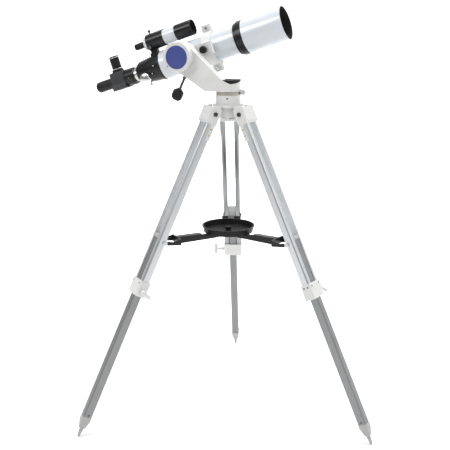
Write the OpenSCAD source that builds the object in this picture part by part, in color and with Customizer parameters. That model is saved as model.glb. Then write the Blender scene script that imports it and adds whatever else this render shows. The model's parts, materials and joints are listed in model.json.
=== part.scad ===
// Small refractor telescope on a single-arm alt-azimuth mount and a folding aluminium tripod.
// The origin is on the floor, at the middle of the footprint box; +Z is up, and the telescope's
// front points towards +X, raised by tube_tilt.

/* [Tripod] */
// Height of the leg pivots above the floor
pivot_z = 953; // [930:1:970]
// Distance of each leg pivot from the azimuth axis
pivot_r = 57; // [56:0.5:58]
// Angle of the spread legs from the vertical, degrees
leg_tilt = 25.6; // [25:0.1:26.5]
// Direction of the rear leg seen from above, degrees from +X
leg_turn = 107; // [100:1:112]
// Tangential width of one rail
rail_w = 14.8; // [14:0.1:15.2]
// Radial depth of the rails
rail_d = 27; // [26.6:0.1:28]
// Gap between the two rails of a leg
rail_gap = 26.8; // [26.6:0.1:27.2]
// Wall of the rails and of the lower leg tubes
rail_wall = 1.6; // [1.2:0.1:2]
// Distance along a leg from its pivot to the lower end of its clamp
clamp_end = 583; // [575:1:590]
// Distance along a leg from its pivot to the top of the lower leg tube
tube_top = 399; // [394:1:404]
// Width of the lower leg tube between the rails
tube_w = 24.4; // [24:0.1:24.6]
// Radial depth of the lower leg tube
tube_d = 26.4; // [25.6:0.1:26.6]

/* [Tray] */
// Radius of the tray at its rim
tray_r = 81.5; // [76:0.5:83]
// Height of the tray's rim above the floor
tray_top = 607; // [604:1:608]
// Depth of the tray, outside
tray_depth = 19.5; // [17:0.5:20]

/* [Mount] */
// Radius of the azimuth base
base_r = 38.2; // [36:0.1:40]
// Thickness of the arm casting
arm_t = 30; // [29:0.5:30]
// Radius of the altitude drum at the top of the arm
drum_r = 43.5; // [42:0.5:45]
// Altitude axis, in front of (+) or behind (-) the azimuth axis
alt_x = -140; // [-141:1:-139]
// Height of the altitude axis above the floor
alt_z = 1113; // [1112:1:1114]
// Elevation of the telescope tube, degrees
tube_tilt = 18.5; // [16:0.5:20]

/* [Telescope] */
// Sideways distance of the tube's axis from the azimuth axis
tube_y = 85; // [84:1:90]
// Outer radius of the main tube
tube_r = 45; // [44:0.5:45]
// Outer radius of the dew shield and lens cell
dew_r = 51.7; // [50.5:0.1:53]
// Distance of the dew shield's rim in front of the altitude axis
rim_t = 305; // [290:1:310]
// Outer radius of the drawtube
draw_r = 20.5; // [20:0.1:21]
// Height of the finder's axis above the tube's axis
finder_v = 79.5; // [79:0.5:84]

/* [Hidden] */
$fn = 64;

// The azimuth axis stands a little off the middle of the footprint box.
axis_x = -9.5;
axis_y = -57.5;

// Heights above the floor of the parts stacked on the hub
hub_bottom = pivot_z - 12;
hub_top = pivot_z + 17;
flange_top = hub_top + 8;
base_top = flange_top + 27;
wheel_top = base_top + 10;
foot_bottom = wheel_top + 1;
axle_top = foot_bottom + 20;
cap_top = foot_bottom + 34;

// Leg frame: the pivot is at its origin, the leg runs along -Z, +X points outwards.
LEG_DIRS = [leg_turn, leg_turn + 120, leg_turn + 240];
tip_r = 4;
leg_len = (pivot_z - tip_r) / cos(leg_tilt);
rail_in = rail_gap / 2;
rail_out = rail_in + rail_w;
rail_top = 32;
rail_end = clamp_end - 30;
clamp_top = clamp_end - 48;
clamp_w = rail_out + 2.8;
clamp_d = rail_d / 2 + 4;
slot_w = tube_w / 2 + 0.35;
slot_d = tube_d / 2 + 0.4;
cheek_in = 17.9;
cheek_out = 29.8;
bolt_r = 4;
knob_at = clamp_end - 16;
KNOB_TURNS = [25, 70, -35];
tube_end = leg_len - 63;

// Spreader: each arm turns on the hub and reaches past the sides of its rails.
arm_pin_r = 26;
arm_pin_z = tray_top - tray_depth - 8;
arm_eye_at = 407;
arm_eye_r = pivot_r + arm_eye_at * sin(leg_tilt) - 6;
arm_eye_z = pivot_z - arm_eye_at * cos(leg_tilt) - 3;
plate_r = arm_eye_r - 54;
strap_in = rail_out + 0.8;
strap_out = strap_in + 2;
tray_floor = tray_top - tray_depth;

// Arm casting
arm_near = -38;
arm_far = arm_near + arm_t;
arm_mid = (arm_near + arm_far) / 2;
drum_near = -60;
foot_r = 37.8;
foot_slope = 12.2;
axle_r = 12;
shaft_r = 10;
wheel_r = 26.4;
worm_r = 8.6;
worm_tilt = 25.5;
stem_r = 4;
az_worm_turn = 20;
az_worm_r = 5.6;
az_worm_at = base_r - 0.8 + az_worm_r + 0.6;
az_worm_z = wheel_top - 1.5;

// Saddle and dovetail, across the tube
saddle_near = tube_y - 68.5;
saddle_far = tube_y - 53.5;
bar_near = saddle_far - 6;
knob_t = 61;
safety_t = 37;
ring_rear = 48;
ring_front = 77;
ring_r = 52;
lug_v = 62;

// Stations along the tube, from the altitude axis
tube_front = 161;
tube_rear = -106;
cell_rear = 151;
cell_front = 178;
body_rear = -199;
pinion_t = -164;
pinion_r = 2.6;
pinion_v = -(draw_r + pinion_r + 0.15);
lock_t = pinion_t - 8.5;
lock_v = -46;
draw_rear = -213;
draw_front = -88;
box_front = -247;
box_rear = -295;
box_half = 28;
box_side = 22;
top_eye_t = -271;
eye_r = 15.9;
mirror_t = box_rear + 9;
mirror_v = 18.5;

module placed() translate([axis_x, axis_y, 0]) children();

module leg_frame(i)
    placed()
        rotate([0, 0, LEG_DIRS[i]])
            translate([pivot_r, 0, pivot_z])
                rotate([0, -leg_tilt, 0])
                    children();

// Tube frame: +X runs forward along the tube, +Z is square to it, Y stays the mount's Y.
module tube_frame()
    placed()
        translate([alt_x, 0, alt_z])
            rotate([0, -tube_tilt, 0])
                children();

// A round bar along +X, from a to b
module bar_x(a, b, r) translate([a, 0, 0]) rotate([0, 90, 0]) cylinder(r = r, h = b - a);

// A round bar along +Y, from a to b
module bar_y(a, b, r) translate([0, a, 0]) rotate([-90, 0, 0]) cylinder(r = r, h = b - a);

// A turned part along +X: profile points are [radius, station]
module turned_x(profile) rotate([0, 90, 0]) rotate_extrude() polygon(profile);

// A block between two corners
module block(low, high) translate(low) cube(high - low);

// Rectangle with round corners, centred
module round_rect(dx, dy, r) {
    square([dx, dy - 2 * r], center = true);
    square([dx - 2 * r, dy], center = true);
    for (sx = [-1, 1], sy = [-1, 1])
        translate([sx * (dx / 2 - r), sy * (dy / 2 - r)])
            circle(r);
}

// ---------------------------------------------------------------- tripod head

module hub_lug(i)
    placed()
        rotate([0, 0, LEG_DIRS[i]]) {
            block([20, -17.5, hub_bottom], [pivot_r - 2, 17.5, hub_top - 1.5]);
            translate([pivot_r, 0, pivot_z])
                bar_y(-17.5, 17.5, 15);
        }

module tripod_hub()
    color("whitesmoke")
        difference() {
            union() {
                placed()
                    translate([0, 0, hub_bottom])
                        cylinder(r = 36, h = hub_top - hub_bottom);
                for (i = [0:2])
                    hub_lug(i);
            }
            placed()
                translate([0, 0, hub_bottom - 1])
                    cylinder(r = 5.2, h = 40);
            for (i = [0:2])
                leg_frame(i)
                    bar_y(-20, 20, bolt_r);
        }

module center_bolt()
    color("silver")
        placed() {
            translate([0, 0, hub_bottom - 9])
                cylinder(r = 11, h = 9, $fn = 6);
            translate([0, 0, hub_bottom])
                cylinder(r = 5, h = flange_top + 6 - hub_bottom);
        }

// Three leg pivot bolts with their heads, and the small screw in the azimuth base
module head_screws()
    color("dimgray") {
        for (i = [0:2])
            leg_frame(i)
                difference() {
                    union() {
                        bar_y(-cheek_out, cheek_out, bolt_r);
                        bar_y(-cheek_out - 4, -cheek_out, 6.5);
                        bar_y(cheek_out, cheek_out + 4, 6.5);
                    }
                    bar_y(-cheek_out - 5, -cheek_out - 1.5, 3);
                    bar_y(cheek_out + 1.5, cheek_out + 5, 3);
                }
        placed()
            rotate([0, 0, -75])
                translate([0, 0, flange_top + 19])
                    bar_x(base_r - 8, base_r + 1, 2.5);
    }

module azimuth_base()
    color("whitesmoke")
        placed()
            difference() {
                union() {
                    translate([0, 0, hub_top])
                        cylinder(r = 46, h = flange_top - hub_top);
                    translate([0, 0, flange_top])
                        cylinder(r = base_r, h = base_top - flange_top);
                    translate([0, 0, base_top])
                        cylinder(r = axle_r, h = axle_top - base_top);
                }
                translate([0, 0, hub_top - 1])
                    cylinder(r = 5.1, h = 15.2);
                rotate([0, 0, -75])
                    translate([0, 0, flange_top + 19])
                        bar_x(base_r - 8, base_r + 2, 2.5);
            }

module azimuth_wheel()
    color("darkgray")
        placed()
            translate([0, 0, base_top])
                difference() {
                    cylinder(r = base_r - 0.8, h = wheel_top - base_top);
                    translate([0, 0, -1])
                        cylinder(r = axle_r, h = 20);
                }

// ---------------------------------------------------------------- legs

module leg_bracket(i)
    color("whitesmoke")
        intersection() {
            difference() {
                leg_frame(i)
                    difference() {
                        union() {
                            block([-16, -cheek_out, -rail_top], [17, cheek_out, 30]);
                            block([17, -cheek_out, -rail_top + 6], [19, cheek_out, 20]);
                            for (s = [-1, 1])
                                block([-rail_d / 2, s * (rail_out + 0.8) - 0.8, -80],
                                      [0, s * (rail_out + 0.8) + 0.8, -rail_top]);
                            for (s = [-1, 1])
                                translate([0, s * (rail_in + rail_w / 2), -78])
                                    linear_extrude(50)
                                        square([rail_d - 2 * rail_wall - 0.2, rail_w - 2 * rail_wall - 0.2],
                                               center = true);
                        }
                        block([-20, -cheek_in, -23], [17, cheek_in, 40]);
                        bar_y(-40, 40, bolt_r + 0.05);
                    }
                placed()
                    translate([0, 0, hub_top - 6])
                        cylinder(r = 48, h = 44);
            }
            placed()
                translate([0, 0, pivot_z - 100])
                    cylinder(r = 400, h = 100 + 24);
        }

module rail_profile()
    translate([0, rail_in + rail_w / 2])
        difference() {
            union() {
                translate([0, -rail_w / 4])
                    square([rail_d, rail_w / 2], center = true);
                round_rect(rail_d, rail_w, 6);
            }
            square([rail_d - 2 * rail_wall, rail_w - 2 * rail_wall], center = true);
        }

module leg_rails(i)
    color("silver")
        leg_frame(i)
            for (s = [0, 1])
                mirror([0, s, 0])
                    translate([0, 0, -rail_end])
                        linear_extrude(rail_end - rail_top)
                            rail_profile();

module leg_clamp(i)
    color("whitesmoke")
        leg_frame(i)
            difference() {
                translate([0, 0, -clamp_end])
                    linear_extrude(clamp_end - clamp_top)
                        round_rect(2 * clamp_d, 2 * clamp_w, 5);
                block([-rail_d / 2, -rail_out, -rail_end], [rail_d / 2, rail_out, -clamp_top + 1]);
                block([-slot_d, -slot_w, -clamp_end - 1], [slot_d, slot_w, -clamp_top + 1]);
                translate([0, 0, -knob_at])
                    bar_y(0, 40, 4.06);
            }

// Screw with a tee handle, on the leg's anticlockwise side
module clamp_knob(i)
    color("whitesmoke")
        leg_frame(i)
            translate([0, 0, -knob_at]) {
                bar_y(tube_w / 2 + 0.5, 56, 4);
                bar_y(clamp_w + 1, clamp_w + 9, 7);
                translate([0, 60, 0])
                    rotate([0, KNOB_TURNS[i], 0]) {
                        cylinder(r = 6, h = 26, center = true);
                        for (s = [-1, 1])
                            translate([0, 0, s * 13])
                                sphere(6);
                    }
            }

module lower_leg(i)
    color("darkgray")
        leg_frame(i)
            translate([0, 0, -tube_end])
                linear_extrude(tube_end - tube_top)
                    difference() {
                        round_rect(tube_d, tube_w, 3);
                        square([tube_d - 2 * rail_wall, tube_w - 2 * rail_wall], center = true);
                    }

// Foot with its spike, and the plug in the top of the lower leg tube
module leg_ends(i)
    color("gainsboro")
        leg_frame(i) {
            inner_d = tube_d - 2 * rail_wall;
            inner_w = tube_w - 2 * rail_wall;
            block([-inner_d / 2, -inner_w / 2, -tube_end], [inner_d / 2, inner_w / 2, -tube_end + 18]);
            hull() {
                translate([0, 0, -tube_end - 12])
                    linear_extrude(12)
                        round_rect(28.5, 26.5, 4, $fn = 24);
                translate([0, 0, -tube_end - 37])
                    cylinder(r = 10.5, h = 2, $fn = 32);
            }
            translate([0, 0, -leg_len])
                cylinder(r1 = tip_r, r2 = 7, h = leg_len - tube_end - 35);
            translate([0, 0, -leg_len])
                sphere(tip_r);
            block([-inner_d / 2, -inner_w / 2, -tube_top - 12], [inner_d / 2, inner_w / 2, -tube_top]);
            translate([0, 0, -tube_top])
                linear_extrude(12)
                    round_rect(29, 26, 3);
        }

// ---------------------------------------------------------------- spreader and tray

// Side view of an arm, in radius and height
module arm_profile()
    polygon([
        [38, arm_pin_z - 6], [38, arm_pin_z + 5], [88, arm_pin_z + 5], [95, arm_pin_z + 12],
        [plate_r + 4, arm_pin_z + 12], [plate_r + 4, arm_pin_z - 9], [160, arm_pin_z - 9]
    ]);

module strap_profile()
    polygon([
        [plate_r, arm_pin_z + 11], [plate_r + 26, arm_pin_z + 4], [arm_eye_r, arm_eye_z + 7],
        [arm_eye_r + 5, arm_eye_z + 4], [arm_eye_r + 5, arm_eye_z - 4], [arm_eye_r, arm_eye_z - 7],
        [plate_r, arm_pin_z - 9]
    ]);

// Extrudes a side view in radius and height across the arm, from y = a to b
module side_extrude(a, b)
    translate([0, b, 0])
        rotate([90, 0, 0])
            linear_extrude(b - a)
                children();

// A channel, open below, with a fork of two straps that pass outside the rails
module spreader_arm(i)
    color("#1b1b1c")
        placed()
            rotate([0, 0, LEG_DIRS[i]]) {
                difference() {
                    side_extrude(-10, 10)
                        arm_profile();
                    block([43, -7.5, arm_pin_z - 20], [88, 7.5, arm_pin_z + 2]);
                    block([80, -7.5, arm_pin_z - 20], [plate_r - 1, 7.5, arm_pin_z + 9]);
                }
                difference() {
                    union() {
                        side_extrude(-3.5, 3.5)
                            polygon([[arm_pin_r, arm_pin_z - 6], [arm_pin_r, arm_pin_z + 4.5],
                                     [45, arm_pin_z + 4.5], [45, arm_pin_z - 5]]);
                        translate([arm_pin_r, 0, arm_pin_z])
                            bar_y(-3.5, 3.5, 6);
                    }
                    translate([arm_pin_r, 0, arm_pin_z])
                        bar_y(-5, 5, 2.56);
                }
                block([plate_r, -strap_out, arm_pin_z - 9], [plate_r + 4, strap_out, arm_pin_z + 11]);
                for (s = [-1, 1]) {
                    side_extrude(s > 0 ? strap_in : -strap_out, s > 0 ? strap_out : -strap_in)
                        strap_profile();
                    translate([arm_eye_r, s * (strap_out + 0.7), arm_eye_z])
                        bar_y(-0.8, 0.8, 3.5);
                }
            }

module spreader_hub()
    color("#1b1b1c")
        placed() {
            difference() {
                union() {
                    translate([0, 0, arm_pin_z + 5.4])
                        cylinder(r = 34, h = tray_floor - arm_pin_z - 5.4);
                    translate([0, 0, arm_pin_z - 7])
                        cylinder(r = 13, h = 13);
                    for (i = [0:2])
                        rotate([0, 0, LEG_DIRS[i]])
                            for (s = [-1, 1])
                                block([10, s * 6.25 - 2.25, arm_pin_z - 7], [31, s * 6.25 + 2.25, arm_pin_z + 6]);
                }
                translate([0, 0, arm_pin_z - 8])
                    cylinder(r = 3, h = 30);
                for (i = [0:2])
                    rotate([0, 0, LEG_DIRS[i]])
                        translate([arm_pin_r, 0, arm_pin_z])
                            bar_y(-3.99, 3.99, 7.5);
            }
            for (i = [0:2])
                rotate([0, 0, LEG_DIRS[i]])
                    translate([arm_pin_r, 0, arm_pin_z])
                        bar_y(-5, 5, 2.5);
        }

module tray()
    color("#161617")
        placed()
            difference() {
                union() {
                    translate([0, 0, tray_floor])
                        cylinder(r1 = tray_r - 5, r2 = tray_r - 2, h = tray_depth);
                    translate([0, 0, tray_top - 3])
                        cylinder(r = tray_r, h = 3);
                }
                difference() {
                    translate([0, 0, tray_floor + 2.5])
                        cylinder(r1 = tray_r - 8, r2 = tray_r - 4.5, h = tray_depth);
                    translate([0, 0, tray_floor])
                        cylinder(r = 10, h = 4.5);
                }
                translate([0, 0, tray_floor - 1])
                    cylinder(r = 3.06, h = 7);
            }

module tray_knob()
    color("#161617")
        placed() {
            translate([0, 0, tray_floor - 8])
                cylinder(r = 2.9, h = 11);
            translate([0, 0, tray_floor + 4.8])
                cylinder(r = 5, h = 2);
            translate([0, 0, tray_floor + 6])
                cylinder(r = 9, h = 9);
        }

// ---------------------------------------------------------------- mount head

// Side view of the arm's slab
module slab_profile()
    polygon([
        [-60.5, foot_bottom], [20, foot_bottom], [20, foot_bottom + 21], [-12.5, foot_bottom + 37],
        [alt_x + 0.68 * drum_r, alt_z + 0.73 * drum_r], [alt_x, alt_z],
        [alt_x - 0.25 * drum_r, alt_z - 0.9 * drum_r]
    ]);

// The slab, its front end rounded like the foot
module slab(grow = 0)
    intersection() {
        side_extrude(arm_near - grow, arm_far + grow)
            slab_profile();
        union() {
            block([-300, -80, 0], [0, 80, 1500]);
            cylinder(r = 38 + grow, h = 1500);
        }
    }

// Everything above the sloping top of the foot
module above_foot()
    translate([0, arm_near, foot_bottom + 21])
        rotate([foot_slope, 0, 0])
            translate([-100, -50, 0])
                cube([200, 200, 100]);

module worm_frame()
    translate([alt_x + (wheel_r + worm_r + 0.3) * cos(worm_tilt), arm_mid,
               alt_z - (wheel_r + worm_r + 0.3) * sin(worm_tilt)])
        rotate([0, worm_tilt, 0])
            children();

module az_worm_frame()
    rotate([0, 0, az_worm_turn])
        translate([az_worm_at, 0, az_worm_z])
            children();

module mount_arm()
    color("whitesmoke")
        placed()
            difference() {
                union() {
                    slab();
                    translate([alt_x, 0, alt_z])
                        bar_y(drum_near, arm_far, drum_r);
                    difference() {
                        translate([0, 0, foot_bottom])
                            cylinder(r = foot_r, h = 33);
                        above_foot();
                    }
                    az_worm_frame() {
                        block([-az_worm_at / 2, -20, foot_bottom - az_worm_z], [0, 15, 7.8]);
                        block([-7.8, -20, -7], [0, 15, 7.8]);
                        bar_y(-22, 15, 7.8);
                    }
                }
                translate([0, 0, foot_bottom - 20])
                    cylinder(r = base_r + 0.4, h = 20);
                translate([0, 0, foot_bottom - 1])
                    cylinder(r = axle_r + 0.06, h = axle_top - foot_bottom + 2);
                translate([alt_x, 0, alt_z]) {
                    bar_y(-47, arm_far + 1, shaft_r + 0.06);
                    bar_y(arm_mid - 7, arm_mid + 7, wheel_r + 0.5);
                    bar_y(drum_near - 1, drum_near + 2, 34);
                }
                worm_frame() {
                    translate([0, 0, -19])
                        cylinder(r = worm_r + 0.4, h = 38);
                    translate([0, 0, -70])
                        cylinder(r = stem_r + 0.06, h = 60);
                }
                az_worm_frame() {
                    bar_y(-25, 25, 3.56);
                    bar_y(-13, 12, az_worm_r + 0.4);
                }
            }

module azimuth_cap()
    color("#141414")
        placed()
            difference() {
                intersection() {
                    translate([0, 0, foot_bottom + 10])
                        cylinder(r = foot_r - 0.6, h = cap_top - foot_bottom - 10);
                    above_foot();
                }
                translate([0, 0, 0.2])
                    slab(0.3);
                translate([0, 0, cap_top - 1.5])
                    cylinder(r = 9, h = 3);
            }

module azimuth_worm()
    color("silver")
        placed()
            az_worm_frame() {
                bar_y(-23, 14.5, 3.5);
                bar_y(-32, -23, 3);
                bar_y(-12.5, 11.5, az_worm_r);
            }

module altitude_cap()
    color("#3c4a9e")
        placed()
            translate([alt_x, 0, alt_z])
                bar_y(drum_near - 1.5, drum_near + 2, 33.5);

// The shaft, with its worm wheel, turns with the saddle
module altitude_shaft()
    color("silver")
        placed()
            translate([alt_x, 0, alt_z]) {
                bar_y(-46, saddle_near + 6, shaft_r);
                bar_y(arm_mid - 6, arm_mid + 6, wheel_r);
            }

module altitude_worm()
    color("#2c2c2e")
        placed()
            worm_frame() {
                translate([0, 0, -18])
                    cylinder(r = worm_r, h = 36);
                translate([0, 0, -100])
                    cylinder(r = stem_r, h = 84);
            }

module altitude_knob()
    color("#151515")
        placed()
            worm_frame()
                translate([0, 0, -106])
                    difference() {
                        union() {
                            cylinder(r = 17, h = 24, center = true, $fn = 8);
                            translate([0, 0, 12])
                                cylinder(r1 = 15.5, r2 = 9, h = 5);
                            translate([0, 0, -17])
                                cylinder(r1 = 12, r2 = 15.5, h = 5);
                        }
                        translate([0, 0, 6])
                            cylinder(r = stem_r, h = 20);
                    }

// ---------------------------------------------------------------- saddle and tube ring

// Section of the dovetail, across the tube: wide at the near side
module dovetail_profile(grow = 0)
    polygon([
        [-15 - grow, bar_near - grow], [15 + grow, bar_near - grow],
        [11.5 + grow, saddle_far + 0.01], [-11.5 - grow, saddle_far + 0.01]
    ]);

// Extrudes a section given in height (v) and Y along the tube
module along_tube(a, b)
    translate([a, 0, 0])
        rotate([0, -90, 0])
            mirror([0, 0, 1])
                linear_extrude(b - a)
                    children();

module saddle()
    color("whitesmoke")
        tube_frame()
            difference() {
                union() {
                    bar_y(saddle_near, saddle_far, 34);
                    block([0, saddle_near, -19], [86, saddle_far, 19]);
                    bar_y(arm_far + 0.6, saddle_near + 1, 25);
                }
                along_tube(-40, 100)
                    dovetail_profile(0.15);
                bar_y(arm_far - 1, saddle_near + 6, shaft_r);
                translate([knob_t, 0, 0])
                    bar_y(0, bar_near, 3.06);
                translate([safety_t, 0, 2])
                    bar_y(0, bar_near, 2.06);
            }

module saddle_knob()
    color("#171717")
        tube_frame()
            translate([knob_t, 0, 0]) {
                bar_y(saddle_near - 4, bar_near - 0.5, 3);
                bar_y(saddle_near - 16, saddle_near - 3, 11.5);
            }

module safety_screw()
    color("silver")
        tube_frame()
            translate([safety_t, 0, 2]) {
                bar_y(saddle_near - 4, bar_near - 0.5, 2);
                bar_y(saddle_near - 9, saddle_near - 2, 4.5);
            }

module ring_half(side)
    difference() {
        union() {
            translate([0, tube_y, 0])
                bar_x(ring_rear, ring_front, ring_r);
            for (s = [-1, 1])
                block([ring_rear, tube_y - 10, s > 0 ? 40 : -72], [ring_front, tube_y + 10, s > 0 ? 72 : -40]);
        }
        translate([0, tube_y, 0])
            bar_x(ring_rear - 1, ring_front + 1, tube_r + 0.1);
        block([ring_rear - 1, side > 0 ? tube_y - 80 : tube_y - 0.5, -80],
              [ring_front + 1, side > 0 ? tube_y + 0.5 : tube_y + 80, 80]);
        for (s = [-1, 1])
            translate([(ring_rear + ring_front) / 2, 0, s * lug_v])
                bar_y(tube_y - 20, tube_y + 20, 2.6);
    }

module tube_ring_near()
    color("whitesmoke")
        tube_frame() {
            ring_half(-1);
            along_tube(-8, 84)
                dovetail_profile();
            block([ring_rear, saddle_far, -11.4], [ring_front, saddle_far + 4.5, 11.4]);
        }

module tube_ring_far()
    color("whitesmoke")
        tube_frame()
            ring_half(1);

// Ring clamping screws, and the screws that hold the focuser in the tube
module tube_screws()
    color("dimgray")
        tube_frame() {
            for (s = [-1, 1])
                translate([(ring_rear + ring_front) / 2, 0, s * lug_v]) {
                    bar_y(tube_y - 13, tube_y + 12, 2.5);
                    bar_y(tube_y - 13.5, tube_y - 10, 4.5);
                }
            for (a = [30, 150, 270])
                translate([-98, tube_y, 0])
                    rotate([a, 0, 0])
                        bar_y(-tube_r - 1, -tube_r + 4, 2);
        }

// ---------------------------------------------------------------- optical tube

module main_tube()
    color("#e9edf2")
        tube_frame()
            translate([0, tube_y, 0])
                difference() {
                    bar_x(tube_rear, tube_front, tube_r);
                    bar_x(tube_rear - 1, tube_front + 1, tube_r - 1.6);
                    for (a = [30, 150, 270])
                        translate([-98, 0, 0])
                            rotate([a, 0, 0])
                                bar_y(-tube_r - 3, -tube_r + 5, 2);
                }

module lens_cell()
    color("#121212")
        tube_frame()
            translate([0, tube_y, 0])
                turned_x([
                    [tube_r, cell_rear], [48.3, cell_rear], [48.3, cell_rear + 7], [dew_r, cell_rear + 9],
                    [dew_r, cell_front], [dew_r - 1.5, cell_front], [dew_r - 1.5, cell_front + 8],
                    [40, cell_front + 8], [40, tube_front], [tube_r, tube_front]
                ]);

// How far a ball of radius r falls away at a distance a from its axis
function sag(a, r) = r - sqrt(r * r - a * a);

module objective_lens()
    color("lightcyan")
        tube_frame()
            translate([0, tube_y, 0])
                turned_x(concat(
                    [for (a = [0:5:40]) [a, tube_front + 14 - sag(a, 230)]],
                    [for (a = [40:-5:0]) [a, tube_front + 2 + sag(a, 300)]]
                ));

module dew_shield()
    color("#eef1f5")
        tube_frame()
            translate([0, tube_y, 0])
                turned_x([
                    [dew_r - 1.5, cell_front], [dew_r, cell_front], [dew_r, rim_t - 1], [dew_r - 1, rim_t],
                    [dew_r - 2.3, rim_t], [dew_r - 2.3, cell_front + 8.5], [dew_r - 1.5, cell_front + 8.5]
                ]);

// ---------------------------------------------------------------- focuser

module focuser_outer()
    translate([0, tube_y, 0])
        turned_x([
            [0, body_rear], [26.5, body_rear], [34.5, body_rear + 12], [42.5, tube_rear - 6],
            [44.3, tube_rear - 6], [44.3, tube_rear], [0, tube_rear]
        ]);

module focuser_body()
    color("#1a1a1b")
        tube_frame()
            difference() {
                union() {
                    focuser_outer();
                    translate([0, tube_y, 0])
                        bar_x(tube_rear, tube_rear + 14, tube_r - 1.6);
                }
                translate([0, tube_y, 0]) {
                    bar_x(body_rear - 1, tube_rear + 20, draw_r + 0.06);
                    bar_x(tube_rear - 8, tube_rear + 20, 36);
                    translate([pinion_t, 0, pinion_v]) {
                        bar_y(-40, 40, 2.56);
                        bar_y(-9, 9, pinion_r + 0.4);
                    }
                    translate([lock_t, 0, -50])
                        cylinder(r = 2.06, h = 40);
                    for (a = [30, 150, 270])
                        translate([-98, 0, 0])
                            rotate([a, 0, 0])
                                bar_y(-tube_r - 3, -tube_r + 4, 2);
                }
            }

module drawtube()
    color("silver")
        tube_frame()
            translate([0, tube_y, 0])
                difference() {
                    bar_x(draw_rear, draw_front, draw_r);
                    bar_x(draw_rear - 1, draw_front + 1, draw_r - 2.5);
                }

// Two domed knobs on one pinion shaft
module focus_knobs()
    color("gainsboro")
        tube_frame()
            translate([pinion_t, tube_y, pinion_v]) {
                bar_y(-44, 44, 2.5);
                bar_y(-8.5, 8.5, pinion_r);
                for (s = [0, 1])
                    mirror([0, s, 0]) {
                        bar_y(36, 42, 9);
                        rotate([-90, 0, 0])
                            rotate_extrude()
                                polygon([[0, 41], [16.5, 41], [18, 43], [18, 50], [16.8, 53], [13.5, 55.5],
                                         [8, 57.3], [0, 58]]);
                    }
            }

module focus_lock_screw()
    color("silver")
        tube_frame()
            translate([lock_t, tube_y, 0]) {
                translate([0, 0, lock_v + 2])
                    cylinder(r = 2, h = -lock_v - 2 - draw_r - 0.4);
                translate([0, 0, lock_v])
                    cylinder(r = 4.6, h = 7);
            }

// ---------------------------------------------------------------- flip-mirror diagonal

module drawtube_adapter()
    color("#191919")
        tube_frame()
            translate([0, tube_y, 0])
                difference() {
                    union() {
                        bar_x(box_front, draw_rear, 26);
                        bar_x(box_front + 4, draw_rear - 4, 27);
                        bar_x(draw_rear, draw_rear + 7, draw_r - 2.5);
                    }
                    bar_x(box_front - 1, draw_rear + 8, 15.5);
                }

module flip_box()
    color("#55575a")
        tube_frame()
            translate([0, tube_y, 0])
                difference() {
                    union() {
                        block([box_rear, -box_side, -box_half], [box_front, box_side, box_half]);
                        block([box_rear - 2, -box_side - 1.5, -box_half], [box_front + 3.5, box_side + 1.5, -9]);
                    }
                    block([box_rear + 4, -18, -box_half + 4], [box_front - 3, 18, box_half - 4]);
                    bar_x(box_rear - 5, box_front + 8, eye_r + 0.1);
                    block([box_front, -box_side - 3, -27.5], [box_front + 8, box_side + 3, 0]);
                    translate([top_eye_t, 0, 0])
                        cylinder(r = eye_r + 0.1, h = box_half + 1);
                    translate([mirror_t, 0, mirror_v])
                        bar_y(0, 30, 2.56);
                }

// Mirror plate on its shaft, with a small knob outside the box
module flip_mirror()
    color("#bfc4c8")
        tube_frame()
            translate([mirror_t, tube_y, mirror_v]) {
                bar_y(-17, 34, 2.5);
                bar_y(25, 33, 7);
                rotate([0, 45, 0])
                    block([0, -16.5, -1.2], [34.5, 16.5, 1.2]);
            }

module eyepiece_top()
    color("#2a2a2b")
        tube_frame()
            translate([top_eye_t, tube_y, 0])
                rotate_extrude()
                    polygon([
                        [0, box_half - 4], [eye_r, box_half - 4], [eye_r, box_half], [18.5, box_half],
                        [18.5, box_half + 7], [15.6, box_half + 8], [15.6, box_half + 46],
                        [14.5, box_half + 50], [10, box_half + 50], [10, box_half + 47], [0, box_half + 47]
                    ]);

module eyepiece_rear()
    color("#0e0e0f")
        tube_frame()
            translate([box_rear, tube_y, 0])
                rotate([0, -90, 0])
                    rotate_extrude()
                        polygon([
                            [0, -3.5], [eye_r, -3.5], [eye_r, 3], [17.3, 3], [17.3, 54], [15.8, 60],
                            [12, 63], [0, 63]
                        ]);

// ---------------------------------------------------------------- finder

module finder_axis() translate([0, tube_y, finder_v]) children();

module finder_bracket()
    color("#161617")
        tube_frame()
            difference() {
                union() {
                    finder_axis()
                        bar_x(-137, -78, 25.5);
                    block([-136, tube_y - 8, 34], [-114, tube_y + 8, finder_v - 10]);
                    block([-138, tube_y - 15, 34], [-112.5, tube_y + 15, 46]);
                }
                focuser_outer();
                finder_axis() {
                    bar_x(-140, -77, 22.1);
                    for (a = [90, 210, 330])
                        translate([-125, 0, 0])
                            rotate([a, 0, 0])
                                bar_y(20, 30, 2);
                }
            }

module finder_tube()
    color("#f2f3f4")
        tube_frame()
            finder_axis()
                turned_x([
                    [10, -148], [19.5, -148], [20.5, -147], [20.5, -137.3], [21.8, -137.3], [21.8, -77.7],
                    [23.3, -77.7], [23.3, -36], [21, -36], [19.8, -77.7], [19.8, -140], [10, -140]
                ]);

module finder_hood()
    color("#131314")
        tube_frame()
            finder_axis()
                turned_x([
                    [0, -36], [24, -36], [24, 20], [23, 21], [21.6, 21], [21.6, -28], [0, -28]
                ]);

module finder_eyepiece()
    color("#111112")
        tube_frame()
            finder_axis()
                turned_x([
                    [0, -185.5], [9, -185.5], [10, -184], [10, -150], [9.8, -148.3], [9.8, -141], [0, -141]
                ]);

// Adjusting screws of the finder
module finder_screws()
    color("#1e1e1f")
        tube_frame()
            finder_axis()
                for (a = [90, 210, 330])
                    translate([-125, 0, 0])
                        rotate([a, 0, 0]) {
                            bar_y(22.3, 30, 2);
                            bar_y(29, 36, 4.5);
                        }

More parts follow.
